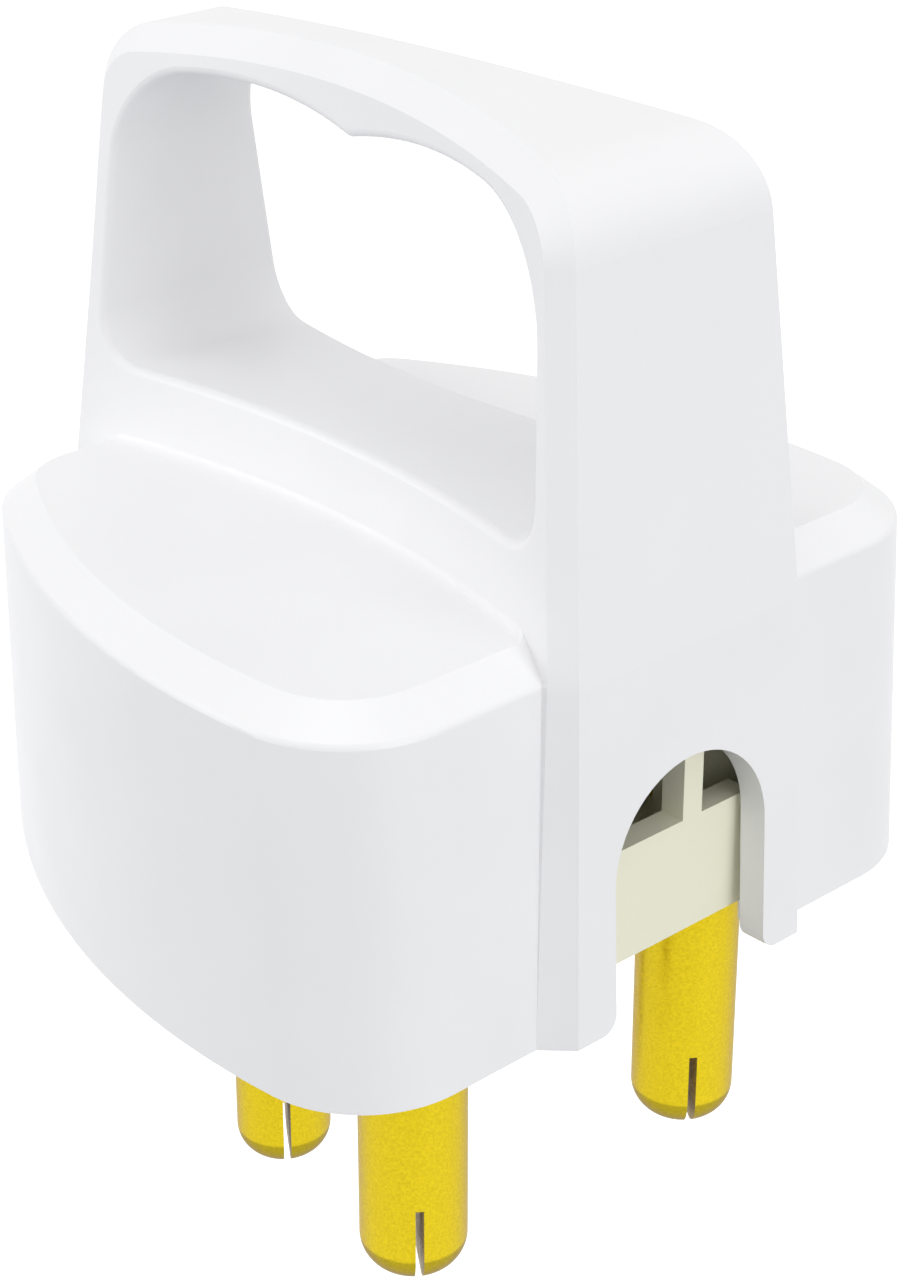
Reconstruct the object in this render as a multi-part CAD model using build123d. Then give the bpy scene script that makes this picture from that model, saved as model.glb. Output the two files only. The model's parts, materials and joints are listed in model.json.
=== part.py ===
from build123d import *
import math
import os

# A rewireable three-pin plug top with round pins and a moulded loop handle for two fingers.
# Millimetres, +Z up. The origin is on the earth pin's axis, in the face that the pins stand out of.
# +X runs towards the cord entry and +Y runs across the handle, and the pins point down.

# Pins
PIN_PITCH = 25.4             # line pin to neutral pin
EARTH_OFFSET = 28.6          # earth pin to the line through the other two
PIN_DIAMETER = 7.06
PIN_COLLAR_DIAMETER = 7.8    # where the pin passes through the base
PIN_REACH = 22.7             # line and neutral, from the base's face to the tip
EARTH_REACH = 34.9           # the earth pin makes first and breaks last
TIP_HEIGHT = 2.3
TIP_FLAT_DIAMETER = 3.4
TIP_BULGE = 0.45             # how far the tip's curve stands outside its straight cone
TIP_SLOT_WIDTH = 0.55
TIP_SLOT_DEPTH = 6.2
TIP_SLOT_TURN = -35.5        # degrees from +X, about the pin's axis
PIN_HEAD_DIAMETER = 9.2
PIN_HEAD_HEIGHT = 10.0
WIRE_HOLE_DIAMETER = 3.8
WIRE_HOLE_HEIGHT = 4.8       # above the head's seat

# Cover, plan of the two lobes
CENTRE_X = 14.7              # middle of the body and of the handle
BODY_LENGTH = 45.6           # at the rim, between the lobes' end walls
BODY_WIDTH = 53.2            # at the rim, over both lobes
SIDE_RADIUS = 57.7
WIDEST_X = 25.2              # where the lobes are widest
CORD_CORNER_RADIUS = 8.0
FAR_CORNER_RADIUS = 7.0
END_DRAFT = 1.2              # growth of each end wall from the rim down to the foot
SIDE_DRAFT = 0.2

# Cover, heights
SKIRT = 2.1                  # the cover's foot is this far below the base's face
RIM_Z = 21.6                 # top of the lobes' walls, where the bevel starts
BEVEL_RISE = 1.8
BEVEL_RUN = 2.3
RIM_ROUND = 0.5
CREST_Z = 52.0               # top of the handle

# Cover, loop handle
HANDLE_LENGTH = 49.5         # at the rim, over both end faces
CORD_LEAN = 5.4              # degrees that the end face over the cord leans in; the far one is upright
CREST_DROP = 2.0             # from the crest to where its arc meets the end faces
CORD_SHOULDER_RADIUS = 5.3
FAR_SHOULDER_RADIUS = 4.2
WAIST_X = 14.2               # narrowest place of the handle, at the rim
WAIST_WIDTH = 12.7           # across the two concave faces there
GRIP_RADIUS = 75.0           # of the concave faces
GRIP_LEAN = 5.7              # degrees that the concave faces lean in
GRIP_RAKE = 11.3             # degrees that the narrowest place runs back as it rises
EDGE_CHAMFER = 1.6
PILASTER_DRAFT = 1.05        # growth of each end face from the rim down to the foot
PILASTER_SPREAD = 0.5        # and of its half width
PILASTER_DEPTH = 5.0
FOOT_CHAMFER = 1.8

# Cover, finger hole
HOLE_FLOOR_Z = 28.5
HOLE_PEAK_Z = 48.65          # top of each finger's scallop
HOLE_PEAK_SPACING = 19.4
HOLE_CUSP_X = 13.65          # where the two scallops meet
HOLE_CUSP_Z = 47.4
HOLE_SHOULDER_Z = 47.0       # where each scallop meets the hole's end
CORD_POST = 3.2              # between the hole and the end face over the cord, at the hole's floor
FAR_POST = 2.75              # between the hole and the far end face
HOLE_CORD_LEAN = 2.9         # degrees that the hole's end over the cord leans in
HOLE_FLOOR_RADIUS = 3.2
HOLE_CORD_RADIUS = 8.0
HOLE_FAR_RADIUS = 6.2
HOLE_CUSP_RADIUS = 1.0
HOLE_ROUND = 0.5
ROOT_ROUND = 0.6             # where the handle rises from the lobes' flat tops

# Cover, shell and cord entry
WALL = 2.0
TOP_WALL = 2.2
END_POCKET_WIDTH = 17.0      # hollow behind each end face of the handle
NOTCH_WIDTH = 13.3
NOTCH_SPRING_Z = 7.5         # where the arch of the cord entry starts
LEG_ROUND = 1.2

# Cover, bosses and hold-down rings
BOSS_X = 9.0
BOSS_INSET = 11.1            # from the lobe's widest place to the cover screw
BOSS_DIAMETER = 8.4
RING_DIAMETER = 9.0
RING_BORE = 6.8

# Base
FIT = 0.2                    # between the base and the cover all round
PLATE = 4.0
PAD_HEIGHT = 6.0             # top of the pads that the cover's bosses land on
PAD_DIAMETER = 10.4
POCKET_WALL = 1.5
POCKET_HEIGHT = 6.0          # above the plate
POCKET_PLAY = 0.2            # around the pin's head
PIN_PLAY = 0.05              # around the pin in the base
CORD_WALL = 1.8
CORD_WALL_TOP = 8.0
CORD_WALL_WIDTH = 16.0
POST_TOP = 15.4
POST_WIDTH = 1.7
POST_Y = 2.75

# Cord grip
GRIP_X = 17.0
GRIP_SCREW_SPACING = 17.0
PILLAR_DIAMETER = 6.6
PILLAR_TOP = 8.8
BAR_WIDTH = 7.0
BAR_THICKNESS = 3.0
CORD_DIAMETER = 8.5
GROOVE_DEPTH = 1.4           # in the bar's underside
NUT_SIDE = 5.5
NUT_THICKNESS = 2.0
NUT_PLAY = 0.1
SADDLE_RISE = 1.2
SADDLE_WIDTH = 1.4

# Screws: thread diameter, head diameter, head height
TERMINAL_SCREW = (3.5, 5.8, 1.8)
GRIP_SCREW = (3.0, 5.5, 1.8)
COVER_SCREW = (3.5, 6.4, 2.0)
TERMINAL_SCREW_LENGTH = 4.0
COVER_SCREW_LENGTH = 10.0
SCREW_PLAY = 0.05            # around a thread in its nut, insert or pin
SCREW_CLEARANCE = 0.15       # around a thread in a plain hole
HEAD_CLEARANCE = 0.3         # around a head in its counterbore
DRIVER_SLOT = 0.8
INSERT_DIAMETER = 5.2
INSERT_LENGTH = 7.0

# Places that follow from the sizes above
FOOT_Z = -SKIRT
FLAT_Z = RIM_Z + BEVEL_RISE
CEILING_Z = FLAT_Z - TOP_WALL
EARTH_XY = (0.0, 0.0)
LINE_XY = (EARTH_OFFSET, PIN_PITCH / 2)
NEUTRAL_XY = (EARTH_OFFSET, -PIN_PITCH / 2)
PIN_PLACES = (LINE_XY, NEUTRAL_XY, EARTH_XY)
BOSS_Y = BODY_WIDTH / 2 - BOSS_INSET
BOSS_PLACES = ((BOSS_X, BOSS_Y), (BOSS_X, -BOSS_Y))
GRIP_PLACES = ((GRIP_X, GRIP_SCREW_SPACING / 2), (GRIP_X, -GRIP_SCREW_SPACING / 2))
HEAD_TOP = PLATE + PIN_HEAD_HEIGHT
BAR_TOP = PILLAR_TOP + BAR_THICKNESS
STANDING = (Align.CENTER, Align.CENTER, Align.MIN)


def at(place, z=0.0):
    """Location at a plan position and a height."""
    return Location((place[0], place[1], z))


def rod(place, diameter, bottom, top):
    """Upright cylinder between two heights."""
    return at(place, bottom) * Cylinder(diameter / 2, top - bottom, align=STANDING)


def block(place, size_x, size_y, bottom, top):
    """Upright box between two heights."""
    return at(place, bottom) * Box(size_x, size_y, top - bottom, align=STANDING)


def below_rim(z):
    """Share of the draft that the walls have at a height: none at the rim, all of it at the foot."""
    return (RIM_Z - z) / (RIM_Z - FOOT_Z)


def lobe_outline(z, inset=0.0):
    """Plan of the two lobes at a height: two end walls, two long arcs and rounded corners."""
    half_length = BODY_LENGTH / 2 + END_DRAFT * below_rim(z)
    half_width = BODY_WIDTH / 2 + SIDE_DRAFT * below_rim(z)
    cord_end, far_end = CENTRE_X + half_length, CENTRE_X - half_length
    cord_y = half_width - SIDE_RADIUS + math.sqrt(SIDE_RADIUS**2 - (cord_end - WIDEST_X) ** 2)
    far_y = half_width - SIDE_RADIUS + math.sqrt(SIDE_RADIUS**2 - (far_end - WIDEST_X) ** 2)
    left_side = ThreePointArc((cord_end, cord_y), (WIDEST_X, half_width), (far_end, far_y))
    right_side = ThreePointArc((far_end, -far_y), (WIDEST_X, -half_width), (cord_end, -cord_y))
    far_wall = Line((far_end, far_y), (far_end, -far_y))
    cord_wall = Line((cord_end, -cord_y), (cord_end, cord_y))
    plan = make_face([left_side.edge(), far_wall.edge(), right_side.edge(), cord_wall.edge()])
    corners = plan.vertices().sort_by(Axis.X)
    plan = fillet(corners[:2], FAR_CORNER_RADIUS)
    plan = fillet(plan.vertices().sort_by(Axis.X)[-2:], CORD_CORNER_RADIUS)
    if inset:
        plan = offset(plan, amount=-inset)
    return plan


def lobes():
    """The two lobes as one drafted body with a bevelled top."""
    foot = Pos(0, 0, FOOT_Z) * lobe_outline(FOOT_Z)
    rim = Pos(0, 0, RIM_Z) * lobe_outline(RIM_Z)
    flat = Pos(0, 0, FLAT_Z) * lobe_outline(RIM_Z, BEVEL_RUN)
    body = loft([foot, rim], ruled=True) + loft([rim, flat], ruled=True)
    rim_edges = body.edges().filter_by_position(Axis.Z, RIM_Z - 0.01, RIM_Z + 0.01)
    return fillet(rim_edges, RIM_ROUND)


def corner(face, x, y):
    """The vertex of a sketched face that is nearest to a point."""
    return face.vertices().sort_by(lambda v: (v.X - x) ** 2 + (v.Y - y) ** 2)[0]


def cord_face(z):
    """From the handle's middle to its end face over the cord, at a height above the rim."""
    return HANDLE_LENGTH / 2 - (z - RIM_Z) * math.tan(math.radians(CORD_LEAN))


def handle_profile():
    """Side view of the handle above the rim: end faces, arched crest and rounded shoulders."""
    far_x, rim_x = -HANDLE_LENGTH / 2, HANDLE_LENGTH / 2
    top_z = CREST_Z - CREST_DROP
    top_x = cord_face(top_z)
    ends = Polyline((far_x, top_z), (far_x, RIM_Z), (rim_x, RIM_Z), (top_x, top_z))
    crest = ThreePointArc((top_x, top_z), ((top_x + far_x) / 2, CREST_Z), (far_x, top_z))
    profile = make_face([*ends.edges(), crest.edge()])
    profile = fillet(corner(profile, far_x, top_z), FAR_SHOULDER_RADIUS)
    return fillet(corner(profile, top_x, top_z), CORD_SHOULDER_RADIUS)


def grip_cutter(side):
    """Large leaning cylinder that hollows one broad face of the handle; side is 1 or -1."""
    lean, rake = math.radians(GRIP_LEAN), math.radians(GRIP_RAKE)
    axis_y = WAIST_WIDTH / 2 + GRIP_RADIUS / math.cos(lean)
    plane = Plane((WAIST_X, side * axis_y, RIM_Z), z_dir=(-math.tan(rake), -side * math.tan(lean), 1))
    return plane * Cylinder(GRIP_RADIUS, 4 * CREST_Z)


def finger_hole_profile():
    """Side view of the finger hole: flat floor, upright ends and a scallop for each finger."""
    far_x = FAR_POST - HANDLE_LENGTH / 2
    cord_x = cord_face(HOLE_FLOOR_Z) - CORD_POST
    cord_top_x = cord_x - (HOLE_SHOULDER_Z - HOLE_FLOOR_Z) * math.tan(math.radians(HOLE_CORD_LEAN))
    cusp_x = HOLE_CUSP_X - CENTRE_X
    far_peak, cord_peak = cusp_x - HOLE_PEAK_SPACING / 2, cusp_x + HOLE_PEAK_SPACING / 2
    cusp = (cusp_x, HOLE_CUSP_Z)
    box = Polyline((far_x, HOLE_SHOULDER_Z), (far_x, HOLE_FLOOR_Z),
                   (cord_x, HOLE_FLOOR_Z), (cord_top_x, HOLE_SHOULDER_Z))
    cord_scallop = ThreePointArc((cord_top_x, HOLE_SHOULDER_Z), (cord_peak, HOLE_PEAK_Z), cusp)
    far_scallop = ThreePointArc(cusp, (far_peak, HOLE_PEAK_Z), (far_x, HOLE_SHOULDER_Z))
    profile = make_face([*box.edges(), cord_scallop.edge(), far_scallop.edge()])
    profile = fillet(corner(profile, far_x, HOLE_FLOOR_Z), HOLE_FLOOR_RADIUS)
    profile = fillet(corner(profile, cord_x, HOLE_FLOOR_Z), HOLE_FLOOR_RADIUS)
    profile = fillet(corner(profile, far_x, HOLE_SHOULDER_Z), HOLE_FAR_RADIUS)
    profile = fillet(corner(profile, cord_top_x, HOLE_SHOULDER_Z), HOLE_CORD_RADIUS)
    return fillet(corner(profile, *cusp), HOLE_CUSP_RADIUS)


def pilaster(slab, side):
    """Drafted post that carries one end of the handle from the rim down to the cover's foot."""
    corners = slab.faces().sort_by(Axis.Z)[0].vertices().sort_by(Axis.X)
    face_corner, strip_corner = (corners[-1], corners[-3]) if side > 0 else (corners[0], corners[2])
    end_x, end_y = face_corner.X, abs(face_corner.Y)
    strip_x, strip_y = strip_corner.X, abs(strip_corner.Y)
    foot_x, foot_y = end_x + side * PILASTER_DRAFT, end_y + PILASTER_SPREAD
    chamfer_x, chamfer_y = foot_x - side * FOOT_CHAMFER, foot_y + FOOT_CHAMFER
    inside = -side * PILASTER_DEPTH
    rim = Polygon((end_x, end_y), (strip_x, strip_y), (end_x + inside, strip_y), (end_x + inside, -strip_y),
                  (strip_x, -strip_y), (end_x, -end_y), align=None)
    foot = Polygon((foot_x, foot_y), (chamfer_x, chamfer_y), (end_x + inside, chamfer_y),
                   (end_x + inside, -chamfer_y), (chamfer_x, -chamfer_y), (foot_x, -foot_y), align=None)
    return loft([Pos(0, 0, RIM_Z) * rim, Pos(0, 0, FOOT_Z) * foot], ruled=True)


def handle():
    """The waisted loop handle, with the pilasters that carry its ends down to the cover's foot."""
    slab = extrude(Plane.XZ * Pos(CENTRE_X, 0) * handle_profile(), amount=BODY_WIDTH / 2, both=True)
    slab = slab - grip_cutter(1) - grip_cutter(-1)
    broad = slab.faces().sort_by(lambda f: f.area)[-2:]
    edges = [e for f in broad for e in f.edges() if e.center().Z > RIM_Z + 0.01]
    slab = chamfer(edges, EDGE_CHAMFER)
    posts = pilaster(slab, 1) + pilaster(slab, -1)
    hole = extrude(Plane.XZ * Pos(CENTRE_X, 0) * finger_hole_profile(), amount=BODY_WIDTH / 2, both=True)
    slab = slab - hole
    broad = slab.faces().filter_by(GeomType.CYLINDER).sort_by(lambda f: f.area)[-2:]
    rims = [e for f in broad for w in f.inner_wires() for e in w.edges()]
    slab = fillet(rims, HOLE_ROUND)
    return slab + posts


def handle_roots(loop):
    """Round at the handle's foot over the lobes' flat tops, ended where the bevels run on upwards."""
    raised = block((CENTRE_X, 0), 2 * BODY_LENGTH, 2 * BODY_WIDTH, RIM_Z, FLAT_Z) + loop
    top = raised.faces().filter_by(Axis.Z).filter_by_position(Axis.Z, FLAT_Z, FLAT_Z)[0]
    feet = top.inner_wires()[0].edges().sort_by(SortBy.LENGTH)[-2:]
    raised = fillet(feet, ROOT_ROUND)
    flat = Pos(0, 0, FLAT_Z) * lobe_outline(RIM_Z, BEVEL_RUN)
    above = Pos(0, 0, FLAT_Z + ROOT_ROUND) * lobe_outline(RIM_Z, BEVEL_RUN * (1 + ROOT_ROUND / BEVEL_RISE))
    return raised & loft([flat, above], ruled=True)


def outer_form():
    """Lobes and handle in one, rounded where the handle rises from the lobes' flat tops."""
    loop = handle()
    return lobes() + loop + handle_roots(loop)


def cavity():
    """Hollow inside the cover: the lobes' drafted outline inset by the wall, and a pocket at each end."""
    foot = Pos(0, 0, FOOT_Z) * lobe_outline(FOOT_Z, WALL)
    ceiling = Pos(0, 0, CEILING_Z) * lobe_outline(CEILING_Z, WALL)
    half_foot = pocket_reach(FOOT_Z)
    half_ceiling = pocket_reach(CEILING_Z)
    pocket = loft([Pos(CENTRE_X, 0, FOOT_Z) * Rectangle(2 * half_foot, END_POCKET_WIDTH),
                   Pos(CENTRE_X, 0, CEILING_Z) * Rectangle(2 * half_ceiling, END_POCKET_WIDTH)], ruled=True)
    return loft([foot, ceiling], ruled=True) + pocket


def pocket_reach(z):
    """Half length of the hollow between the two end faces of the handle, at a height."""
    return HANDLE_LENGTH / 2 + PILASTER_DRAFT * below_rim(z) - WALL


def arch(width, spring_z, foot_z):
    """Upright slot with a round top, seen along X."""
    half = width / 2
    sides = Polyline((-half, spring_z), (-half, foot_z), (half, foot_z), (half, spring_z))
    top = ThreePointArc((half, spring_z), (0, spring_z + half), (-half, spring_z))
    return make_face([*sides.edges(), top.edge()])


def cord_notch():
    """Arched cord entry through the end wall, open at the foot."""
    start_x = CENTRE_X + pocket_reach(FOOT_Z) - 2 * WALL
    plane = Plane((start_x, 0, 0), x_dir=(0, 1, 0), z_dir=(1, 0, 0))
    return extrude(plane * arch(NOTCH_WIDTH, NOTCH_SPRING_Z, FOOT_Z), amount=4 * WALL)


def cover():
    """White moulded cover: lobes and loop handle, hollow below, with bosses and hold-down rings."""
    shell = outer_form() - cavity()
    for place in BOSS_PLACES:
        shell += rod(place, BOSS_DIAMETER, PAD_HEIGHT, CEILING_Z + TOP_WALL / 2)
        shell -= rod(place, INSERT_DIAMETER, PAD_HEIGHT, PAD_HEIGHT + INSERT_LENGTH + TOP_WALL)
    for place in PIN_PLACES:
        ring = rod(place, RING_DIAMETER, HEAD_TOP, CEILING_Z + TOP_WALL / 2)
        shell += ring - rod(place, RING_BORE, HEAD_TOP, CEILING_Z)
    shell -= cord_notch()
    legs = [e for e in shell.edges().filter_by(Axis.X)
            if abs(abs(e.center().Y) - NOTCH_WIDTH / 2) < 0.01 and abs(e.center().Z - FOOT_Z) < 0.01]
    return fillet(legs, LEG_ROUND)


def base_outline(z):
    """Plan of the base at a height, with its two ends flush with the cord wall."""
    lobed = lobe_outline(z, WALL + FIT)
    ends = Pos(CENTRE_X, 0) * Rectangle(2 * (pocket_reach(POST_TOP) - FIT), END_POCKET_WIDTH - 2 * FIT)
    return lobed + ends


def pin_pocket(place):
    """Round wall that stands around a pin's head, open towards the cord grip for the wire."""
    outer = PIN_HEAD_DIAMETER + 2 * (POCKET_PLAY + POCKET_WALL)
    top = PLATE + POCKET_HEIGHT
    wall = rod(place, outer, PLATE, top) - rod(place, PIN_HEAD_DIAMETER + 2 * POCKET_PLAY, PLATE, top)
    to_x, to_y = wire_direction(place)
    gap = (place[0] + to_x * outer / 2, place[1] + to_y * outer / 2)
    size_x = outer if to_x else WIRE_HOLE_DIAMETER
    size_y = outer if to_y else WIRE_HOLE_DIAMETER
    return wall - block(gap, size_x, size_y, PLATE, top)


def wire_direction(place):
    """Unit direction in plan from a pin to where its wire comes from."""
    return (1, 0) if place == EARTH_XY else (0, -math.copysign(1, place[1]))


def square_nut_pocket(place, play=0.0, thickness=NUT_THICKNESS):
    """Square of a grip nut, or of its pocket, lying in the base's face."""
    side = NUT_SIDE + 2 * play
    return block(place, side, side, 0, thickness)


def cord_wall():
    """Wall of the base behind the cord entry, with the post that parts the cord from the line side."""
    outer_x = CENTRE_X + pocket_reach(POST_TOP) - FIT
    middle = outer_x - CORD_WALL / 2
    wall = block((middle, 0), CORD_WALL, CORD_WALL_WIDTH, PLATE, CORD_WALL_TOP)
    return wall + block((middle, POST_Y), CORD_WALL, POST_WIDTH, PLATE, POST_TOP)


def base():
    """Cream pin carrier: plate, pin pockets, cord wall, grip pillars, screw pads and their holes."""
    carrier = extrude(base_outline(PLATE), amount=PLATE) + cord_wall()
    for place in PIN_PLACES:
        carrier += pin_pocket(place)
        carrier -= rod(place, PIN_COLLAR_DIAMETER + 2 * PIN_PLAY, 0, PLATE)
    for place in BOSS_PLACES:
        carrier += rod(place, PAD_DIAMETER, PLATE, PAD_HEIGHT)
        carrier -= rod(place, COVER_SCREW[0] + 2 * SCREW_CLEARANCE, 0, PAD_HEIGHT)
        carrier -= rod(place, COVER_SCREW[1] + 2 * HEAD_CLEARANCE, 0, COVER_SCREW[2])
    for place in GRIP_PLACES:
        carrier += rod(place, PILLAR_DIAMETER, PLATE, PILLAR_TOP)
        carrier -= rod(place, GRIP_SCREW[0] + 2 * SCREW_CLEARANCE, 0, PILLAR_TOP)
        carrier -= square_nut_pocket(place, NUT_PLAY)
    saddle_length = GRIP_SCREW_SPACING - PILLAR_DIAMETER
    for step in (-1, 1):
        place = (GRIP_X + step * (BAR_WIDTH - SADDLE_WIDTH) / 2, 0)
        carrier += block(place, SADDLE_WIDTH, saddle_length, PLATE, PLATE + SADDLE_RISE)
    return carrier


def pin(place, reach):
    """Turned pin: head with a cross hole and a tapped hole, collar, shank, and a domed tip sawn across."""
    shank, collar, head = PIN_DIAMETER / 2, PIN_COLLAR_DIAMETER / 2, PIN_HEAD_DIAMETER / 2
    flat = TIP_FLAT_DIAMETER / 2
    dome_z = TIP_HEIGHT - reach
    bulge = ((shank + flat) / 2 + TIP_BULGE, dome_z - TIP_HEIGHT / 2 - TIP_BULGE / 2)
    outline = Polyline((flat, -reach), (0, -reach), (0, HEAD_TOP), (head, HEAD_TOP), (head, PLATE),
                       (collar, PLATE), (collar, 0), (shank, 0), (shank, dome_z))
    dome = ThreePointArc((shank, dome_z), bulge, (flat, -reach))
    turned = revolve(Plane.XZ * make_face([*outline.edges(), dome.edge()]), axis=Axis.Z)
    saw_cut = Pos(0, 0, -reach) * Rot(0, 0, TIP_SLOT_TURN) * Box(
        2 * PIN_DIAMETER, TIP_SLOT_WIDTH, TIP_SLOT_DEPTH, align=STANDING)
    turned -= saw_cut
    wire_z = PLATE + WIRE_HOLE_HEIGHT
    across = Rot(0, 90, 0) if wire_direction(place)[0] else Rot(90, 0, 0)
    turned -= Pos(0, 0, wire_z) * across * Cylinder(WIRE_HOLE_DIAMETER / 2, 2 * PIN_HEAD_DIAMETER)
    turned -= rod((0, 0), TERMINAL_SCREW[0] + 2 * SCREW_PLAY, wire_z, HEAD_TOP)
    return at(place) * turned


def screw(place, size, length, seat_z, up=True):
    """Cheese-head screw: head on its seat, plain shank for the thread, and a driver slot."""
    thread, head, head_height = size
    body = Cylinder(head / 2, head_height, align=STANDING)
    body += Cylinder(thread / 2, length, align=(Align.CENTER, Align.CENTER, Align.MAX))
    rim = body.edges().filter_by(GeomType.CIRCLE).sort_by(Axis.Z)[-1]
    body = chamfer(rim, head_height / 5)
    body -= Pos(0, 0, head_height) * Box(2 * head, DRIVER_SLOT, head_height)
    turned = body if up else Rot(180, 0, 0) * body
    return at(place, seat_z) * turned


def cord_grip_bar():
    """Bar that clamps the cord on the base's saddle, hollowed underneath to the cord's own curve."""
    length = GRIP_SCREW_SPACING + PILLAR_DIAMETER
    bar = block((GRIP_X, 0), BAR_WIDTH, length, PILLAR_TOP, BAR_TOP)
    bar = fillet(bar.edges().filter_by(Axis.Z), BAR_WIDTH / 3)
    cord_z = PILLAR_TOP + GROOVE_DEPTH - CORD_DIAMETER / 2
    bar -= Pos(GRIP_X, 0, cord_z) * Rot(0, 90, 0) * Cylinder(CORD_DIAMETER / 2, 2 * BAR_WIDTH)
    for place in GRIP_PLACES:
        bar -= rod(place, GRIP_SCREW[0] + 2 * SCREW_CLEARANCE, PILLAR_TOP, BAR_TOP)
    return bar


def grip_nut(place):
    """Square nut flush in the base's face."""
    return square_nut_pocket(place) - rod(place, GRIP_SCREW[0] + 2 * SCREW_PLAY, 0, NUT_THICKNESS)


def insert(place):
    """Threaded brass tube moulded into a boss of the cover."""
    top = PAD_HEIGHT + INSERT_LENGTH
    return rod(place, INSERT_DIAMETER, PAD_HEIGHT, top) - rod(
        place, COVER_SCREW[0] + 2 * SCREW_PLAY, PAD_HEIGHT, top)


def pieces():
    """Every separate piece of the plug, by name."""
    made = {
        "cover": cover(),
        "base": base(),
        "cord_grip_bar": cord_grip_bar(),
        "line_pin": pin(LINE_XY, PIN_REACH),
        "neutral_pin": pin(NEUTRAL_XY, PIN_REACH),
        "earth_pin": pin(EARTH_XY, EARTH_REACH),
    }
    for name, place in zip(("line", "neutral", "earth"), PIN_PLACES):
        made[name + "_terminal_screw"] = screw(place, TERMINAL_SCREW, TERMINAL_SCREW_LENGTH, HEAD_TOP)
    for side, grip_place, boss_place in zip(("left", "right"), GRIP_PLACES, BOSS_PLACES):
        made["cord_grip_screw_" + side] = screw(grip_place, GRIP_SCREW, BAR_TOP, BAR_TOP)
        made["cord_grip_nut_" + side] = grip_nut(grip_place)
        made["cover_screw_" + side] = screw(
            boss_place, COVER_SCREW, COVER_SCREW_LENGTH, COVER_SCREW[2], up=False)
        made["cover_insert_" + side] = insert(boss_place)
    return made


if __name__ == "__main__":
    os.makedirs("parts", exist_ok=True)
    for name, piece in pieces().items():
        export_step(piece, os.path.join("parts", name + ".step"))
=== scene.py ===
"""A white three-pin plug top with a loop handle, dressed for a plain white studio."""
import bpy
import json
import math
from mathutils import Matrix, Vector

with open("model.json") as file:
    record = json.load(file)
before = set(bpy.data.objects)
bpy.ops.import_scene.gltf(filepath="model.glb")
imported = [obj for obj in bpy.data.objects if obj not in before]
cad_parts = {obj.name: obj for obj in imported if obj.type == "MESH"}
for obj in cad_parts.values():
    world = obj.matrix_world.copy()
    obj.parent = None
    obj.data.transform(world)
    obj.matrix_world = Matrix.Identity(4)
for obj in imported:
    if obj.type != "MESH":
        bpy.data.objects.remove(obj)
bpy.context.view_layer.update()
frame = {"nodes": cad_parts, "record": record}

# The picture is taken from the cord end, to one side and above. The lamps face the target, and
# the camera stands where the target shows a little right of and above the middle of the picture.
VIEW_AZIMUTH = math.radians(47.0)
VIEW_ELEVATION = math.radians(26.0)
VIEW_DISTANCE = 0.18072
VIEW_TARGET = Vector((0.0324, 0.0, 0.0216))
TARGET_RIGHT = 0.009352
TARGET_UP = 0.002121
SENSOR_HEIGHT = 36.0
FOCAL_LENGTH = 83.95
NEAREST_SEEN = 0.01
FARTHEST_SEEN = 20.0

# Colours, as they are seen
COVER_WHITE = (0.965, 0.965, 0.970)
CARRIER_CREAM = (0.960, 0.955, 0.865)
PIN_BRASS = (0.885, 0.785, 0.130)
BRASS_EDGE = (0.620, 0.520, 0.100)       # the brass where it is seen at a flat angle
SCREW_STEEL = (0.720, 0.720, 0.730)
FLOOR_WHITE = (0.960, 0.960, 0.960)
FLOOR_BOUNCE = (0.610, 0.620, 0.635)     # what the floor gives back to the plug from below
PURE_WHITE = (1.0, 1.0, 1.0, 1.0)

# How much darker or lighter a colour gets in its pattern
PLASTIC_CLOUD = 0.992
BRASS_DARK = 0.93
BRASS_LIGHT = 1.02
STEEL_DARK = 0.93
FLOOR_CLOUD = 0.995
TIP_PAINTED_SHADE = 0.80                         # painted shade on the downward-facing domed tips of the pins, against their shanks

# Patterns, in clouds per metre of the surface
PLASTIC_CLOUDS = 90.0
PLASTIC_GLOSS_CLOUDS = 240.0
PLASTIC_PEEL_CLOUDS = 2600.0
BRASS_SPECKLE_CLOUDS = 5200.0
BRASS_GLOSS_CLOUDS = 700.0
STEEL_CLOUDS = 900.0
FLOOR_CLOUDS = 6.0

# Where a pattern starts and ends its change, as a part of its height
PATTERN_LOW = 0.3
PATTERN_HIGH = 0.7
CLOUD_LOW = 0.35
CLOUD_HIGH = 0.65

# Gloss, as roughness, and the relief in the surfaces in metres
COVER_ROUGHNESS = 0.38
CARRIER_ROUGHNESS = 0.62
PLASTIC_ROUGHNESS_CHANGE = 0.03
BRASS_ROUGHNESS = (0.24, 0.34)
STEEL_ROUGHNESS = (0.25, 0.40)
FLOOR_ROUGHNESS = 0.9
BRASS_METALLIC = 0.5
COVER_PEEL = 0.000002
CARRIER_PEEL = 0.000008
METAL_GRAIN = 0.00001

# Where the domed tips of the pins start, below which their shade is painted, and how wide the change
# of painted shade is
LIVE_TIP = -0.0204
EARTH_TIP = -0.0326
TIP_BLEND = 0.0002

WORLD_LIGHT = 0.68
FLOOR_GLOW = 0.5
FLOOR_DEPTH = 0.110
FLOOR_SIDE = 6.0


def linear(colour):
    """Each channel of a seen colour as light: (c + 0.055) / 1.055, to the power 2.4."""
    return tuple(((c + 0.055) / 1.055) ** 2.4 for c in colour) + (1.0,)


def scaled(colour, factor):
    """The same hue, darker or lighter."""
    return tuple(min(1.0, c * factor) for c in colour)


def new_material(name):
    """Empty node material, its node tree and its Principled shader."""
    material = bpy.data.materials.new(name)
    material.use_nodes = True
    tree = material.node_tree
    return material, tree, tree.nodes["Principled BSDF"]


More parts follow.
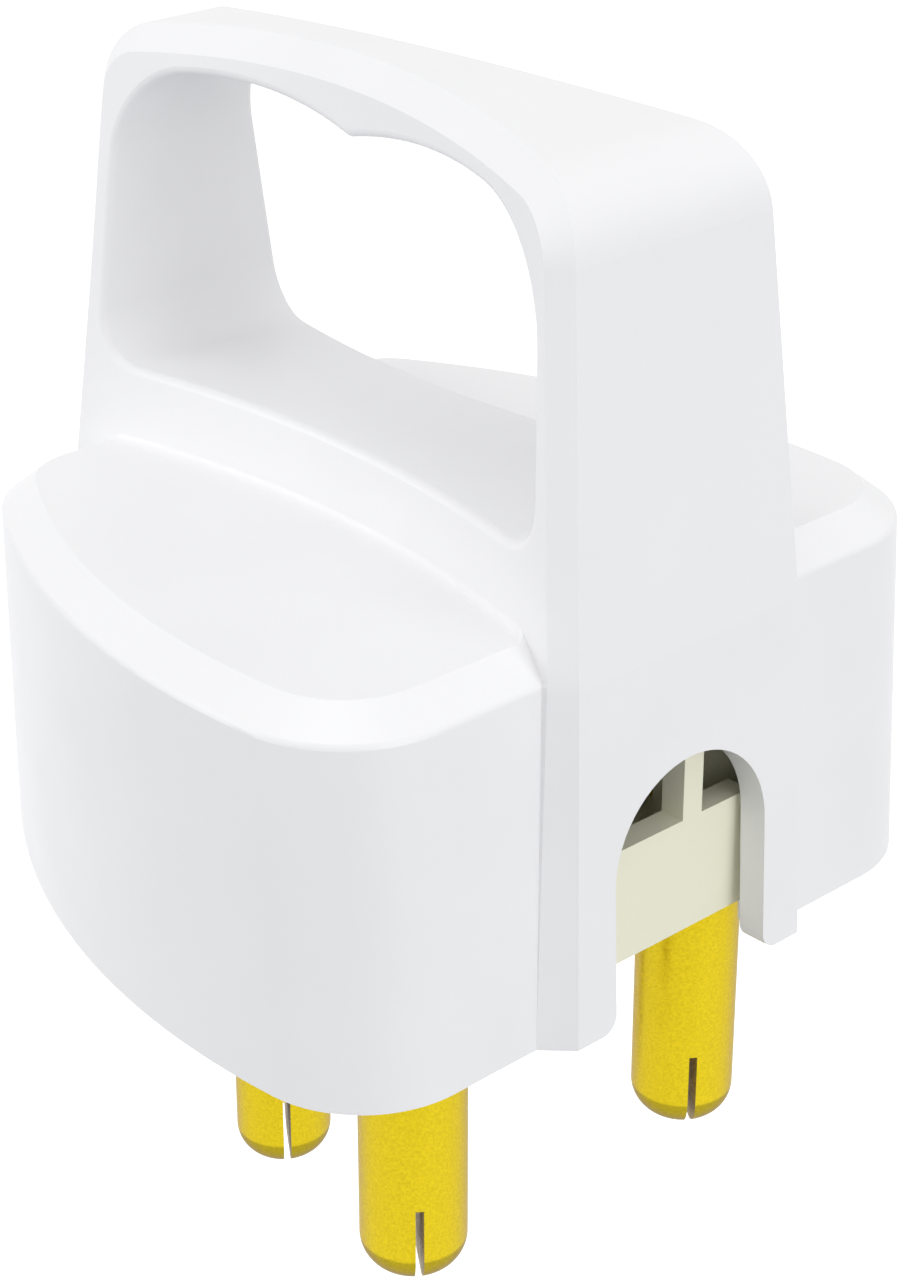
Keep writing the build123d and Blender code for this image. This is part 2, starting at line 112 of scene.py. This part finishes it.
def noise(tree, clouds, detail):
    """Cloudy pattern over the piece's own coordinates, with so many clouds per metre."""
    place = tree.nodes.new("ShaderNodeTexCoord")
    pattern = tree.nodes.new("ShaderNodeTexNoise")
    pattern.inputs["Scale"].default_value = clouds
    pattern.inputs["Detail"].default_value = detail
    tree.links.new(place.outputs["Object"], pattern.inputs["Vector"])
    return pattern.outputs["Fac"]


def shades(tree, pattern, dark, light, low=PATTERN_LOW, high=PATTERN_HIGH):
    """Colour that goes from a dark shade to a light one as the pattern goes from low to high."""
    ramp = tree.nodes.new("ShaderNodeValToRGB")
    first, last = ramp.color_ramp.elements
    first.position, first.color = low, linear(dark)
    last.position, last.color = high, linear(light)
    tree.links.new(pattern, ramp.inputs["Fac"])
    return ramp.outputs["Color"]


def span(tree, pattern, low, high):
    """Plain number that goes from low to high over the pattern's change."""
    spread = tree.nodes.new("ShaderNodeMapRange")
    spread.inputs["From Min"].default_value = PATTERN_LOW
    spread.inputs["From Max"].default_value = PATTERN_HIGH
    spread.inputs["To Min"].default_value = low
    spread.inputs["To Max"].default_value = high
    tree.links.new(pattern, spread.inputs["Value"])
    return spread.outputs["Result"]


def above(tree, height):
    """0 below a height of the piece in metres, and 1 above it, with a narrow blend between."""
    place = tree.nodes.new("ShaderNodeTexCoord")
    parts = tree.nodes.new("ShaderNodeSeparateXYZ")
    tree.links.new(place.outputs["Object"], parts.inputs["Vector"])
    step = tree.nodes.new("ShaderNodeMapRange")
    step.inputs["From Min"].default_value = height - TIP_BLEND
    step.inputs["From Max"].default_value = height
    tree.links.new(parts.outputs["Z"], step.inputs["Value"])
    return step.outputs["Result"]


def colour_blend(tree, factor):
    """Mix of two colours, from A where the factor is 0 to B where it is 1."""
    blend = tree.nodes.new("ShaderNodeMix")
    blend.data_type = "RGBA"
    tree.links.new(factor, blend.inputs["Factor"])
    return blend


def grain(tree, pattern, height):
    """Normal that follows a shallow relief of the pattern, so many metres high."""
    relief = tree.nodes.new("ShaderNodeBump")
    relief.inputs["Strength"].default_value = 1.0
    relief.inputs["Distance"].default_value = height
    tree.links.new(pattern, relief.inputs["Height"])
    return relief.outputs["Normal"]


def moulded_plastic(name, colour, roughness, peel):
    """Moulded plastic: faint clouding, a slightly uneven gloss and a fine peel in the surface."""
    material, tree, shader = new_material(name)
    clouds = noise(tree, PLASTIC_CLOUDS, detail=3.0)
    gloss = noise(tree, PLASTIC_GLOSS_CLOUDS, detail=2.0)
    skin = noise(tree, PLASTIC_PEEL_CLOUDS, detail=2.0)
    tree.links.new(shades(tree, clouds, scaled(colour, PLASTIC_CLOUD), colour, CLOUD_LOW, CLOUD_HIGH),
                   shader.inputs["Base Color"])
    tree.links.new(span(tree, gloss, roughness - PLASTIC_ROUGHNESS_CHANGE,
                        roughness + PLASTIC_ROUGHNESS_CHANGE), shader.inputs["Roughness"])
    tree.links.new(grain(tree, skin, peel), shader.inputs["Normal"])
    return material


def brass_shades(tree, speckle, shade):
    """Speckled brass colour, all of it darker by a factor, which carries the painted shade of the
    domed tips.
    """
    return shades(tree, speckle, scaled(PIN_BRASS, BRASS_DARK * shade),
                  scaled(PIN_BRASS, BRASS_LIGHT * shade))


def turned_brass(name, tip_height):
    """Turned brass: warm yellow metal with fine speckle and a satin gloss, with painted shade making
    the domed tip darker.
    """
    material, tree, shader = new_material(name)
    shader.inputs["Metallic"].default_value = BRASS_METALLIC
    shader.inputs["Specular Tint"].default_value = linear(BRASS_EDGE)
    speckle = noise(tree, BRASS_SPECKLE_CLOUDS, detail=2.0)
    gloss = noise(tree, BRASS_GLOSS_CLOUDS, detail=3.0)
    # painted shade: below the tip height the brass colour is darkened to stand for the shade on the
    # downward-facing dome
    blend = colour_blend(tree, above(tree, tip_height))
    tree.links.new(brass_shades(tree, speckle, TIP_PAINTED_SHADE), blend.inputs["A"])
    tree.links.new(brass_shades(tree, speckle, 1.0), blend.inputs["B"])
    tree.links.new(blend.outputs["Result"], shader.inputs["Base Color"])
    tree.links.new(span(tree, gloss, *BRASS_ROUGHNESS), shader.inputs["Roughness"])
    tree.links.new(grain(tree, speckle, METAL_GRAIN), shader.inputs["Normal"])
    return material


def plated_steel(name):
    """Zinc-plated steel: pale grey metal, cloudy, with a soft gloss."""
    material, tree, shader = new_material(name)
    shader.inputs["Metallic"].default_value = 1.0
    clouds = noise(tree, STEEL_CLOUDS, detail=4.0)
    tree.links.new(shades(tree, clouds, scaled(SCREW_STEEL, STEEL_DARK), SCREW_STEEL),
                   shader.inputs["Base Color"])
    tree.links.new(span(tree, clouds, *STEEL_ROUGHNESS), shader.inputs["Roughness"])
    tree.links.new(grain(tree, clouds, METAL_GRAIN), shader.inputs["Normal"])
    return material


def dress(finishes):
    """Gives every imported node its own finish, or else that of its material slot."""
    slots = {part["node"]: part["material_slot"] for part in frame["record"]["subparts"]}
    for name, node in frame["nodes"].items():
        node.data.materials.clear()
        node.data.materials.append(finishes.get(name) or finishes[slots[name]])


def seen_directly(tree):
    """1 for what the camera, gloss and glass see, 0 for light that only bounces."""
    rays = tree.nodes.new("ShaderNodeLightPath")
    total = rays.outputs["Is Camera Ray"]
    for other in ("Is Glossy Ray", "Is Transmission Ray"):
        either = tree.nodes.new("ShaderNodeMath")
        either.operation = "MAXIMUM"
        tree.links.new(total, either.inputs[0])
        tree.links.new(rays.outputs[other], either.inputs[1])
        total = either.outputs["Value"]
    return total


def floor_white():
    """Floor finish: white and glowing where it is seen, duller in the light that it gives back."""
    material, tree, shader = new_material("floor_white")
    seen = seen_directly(tree)
    clouds = noise(tree, FLOOR_CLOUDS, detail=2.0)
    blend = colour_blend(tree, seen)
    blend.inputs["A"].default_value = linear(FLOOR_BOUNCE)
    tree.links.new(shades(tree, clouds, scaled(FLOOR_WHITE, FLOOR_CLOUD), FLOOR_WHITE),
                   blend.inputs["B"])
    tree.links.new(blend.outputs["Result"], shader.inputs["Base Color"])
    shader.inputs["Roughness"].default_value = FLOOR_ROUGHNESS
    shader.inputs["Emission Color"].default_value = PURE_WHITE
    glow = tree.nodes.new("ShaderNodeMath")
    glow.operation = "MULTIPLY"
    glow.inputs[1].default_value = FLOOR_GLOW
    tree.links.new(seen, glow.inputs[0])
    tree.links.new(glow.outputs["Value"], shader.inputs["Emission Strength"])
    return material


def studio_floor():
    """One square face well below the pins, darker in the plug's shadow."""
    half = FLOOR_SIDE / 2
    mesh = bpy.data.meshes.new("studio_floor")
    mesh.from_pydata([(-half, -half, -FLOOR_DEPTH), (half, -half, -FLOOR_DEPTH),
                      (half, half, -FLOOR_DEPTH), (-half, half, -FLOOR_DEPTH)], [], [(0, 1, 2, 3)])
    floor = bpy.data.objects.new("studio_floor", mesh)
    bpy.context.scene.collection.objects.link(floor)
    floor.data.materials.append(floor_white())


def white_world():
    """Even soft light from all round; the camera, gloss and glass see plain white behind the plug."""
    world = bpy.data.worlds.new("studio_white")
    bpy.context.scene.world = world
    world.use_nodes = True
    tree = world.node_tree
    tree.nodes.clear()
    surface = tree.nodes.new("ShaderNodeOutputWorld")
    light = tree.nodes.new("ShaderNodeBackground")
    light.inputs["Color"].default_value = PURE_WHITE
    light.inputs["Strength"].default_value = WORLD_LIGHT
    backdrop = tree.nodes.new("ShaderNodeBackground")
    backdrop.inputs["Color"].default_value = PURE_WHITE
    backdrop.inputs["Strength"].default_value = 1.0
    choose = tree.nodes.new("ShaderNodeMixShader")
    tree.links.new(seen_directly(tree), choose.inputs["Fac"])
    tree.links.new(light.outputs["Background"], choose.inputs[1])
    tree.links.new(backdrop.outputs["Background"], choose.inputs[2])
    tree.links.new(choose.outputs["Shader"], surface.inputs["Surface"])


def soft_lamp(name, azimuth, elevation, distance, side, power):
    """Square soft lamp that faces the target, at angles in degrees from +X and from the floor."""
    turn, rise = math.radians(azimuth), math.radians(elevation)
    away = Vector((math.cos(turn) * math.cos(rise), math.sin(turn) * math.cos(rise), math.sin(rise)))
    data = bpy.data.lights.new(name, "AREA")
    data.shape = "SQUARE"
    data.size = side
    data.energy = power
    lamp = bpy.data.objects.new(name, data)
    bpy.context.scene.collection.objects.link(lamp)
    lamp.location = VIEW_TARGET + away * distance
    lamp.rotation_euler = (-away).to_track_quat("-Z", "Y").to_euler()
    lamp.visible_camera = False


def picture_camera():
    """Camera at the picture's angle: it looks from the cord end, turned by the azimuth and raised."""
    look = Vector((-math.sin(VIEW_AZIMUTH) * math.cos(VIEW_ELEVATION),
                   math.cos(VIEW_AZIMUTH) * math.cos(VIEW_ELEVATION), -math.sin(VIEW_ELEVATION)))
    right = Vector((math.cos(VIEW_AZIMUTH), math.sin(VIEW_AZIMUTH), 0.0))
    up = right.cross(look)
    place = VIEW_TARGET - look * VIEW_DISTANCE - right * TARGET_RIGHT - up * TARGET_UP
    data = bpy.data.cameras.new("picture_camera")
    data.sensor_fit = "VERTICAL"
    data.sensor_height = SENSOR_HEIGHT
    data.lens = FOCAL_LENGTH
    data.clip_start = NEAREST_SEEN
    data.clip_end = FARTHEST_SEEN
    camera = bpy.data.objects.new("picture_camera", data)
    bpy.context.scene.collection.objects.link(camera)
    turn = Matrix((right, up, -look)).transposed().to_4x4()
    camera.matrix_world = Matrix.Translation(place) @ turn
    bpy.context.scene.camera = camera


dress({
    "cover_white": moulded_plastic("cover_white", COVER_WHITE, COVER_ROUGHNESS, COVER_PEEL),
    "carrier_cream": moulded_plastic("carrier_cream", CARRIER_CREAM, CARRIER_ROUGHNESS, CARRIER_PEEL),
    "pin_brass": turned_brass("pin_brass", LIVE_TIP),
    "earth_pin": turned_brass("earth_pin_brass", EARTH_TIP),
    "screw_steel": plated_steel("screw_steel"),
})
studio_floor()
white_world()
soft_lamp("lamp_cord_side", azimuth=-4.0, elevation=10.0, distance=0.60, side=0.40, power=1.22)
soft_lamp("lamp_far_side", azimuth=-128.0, elevation=12.0, distance=0.65, side=0.40, power=1.12)
soft_lamp("lamp_above", azimuth=-110.0, elevation=84.0, distance=0.65, side=0.50, power=0.90)
picture_camera()
bpy.context.scene.view_settings.view_transform = "Standard"
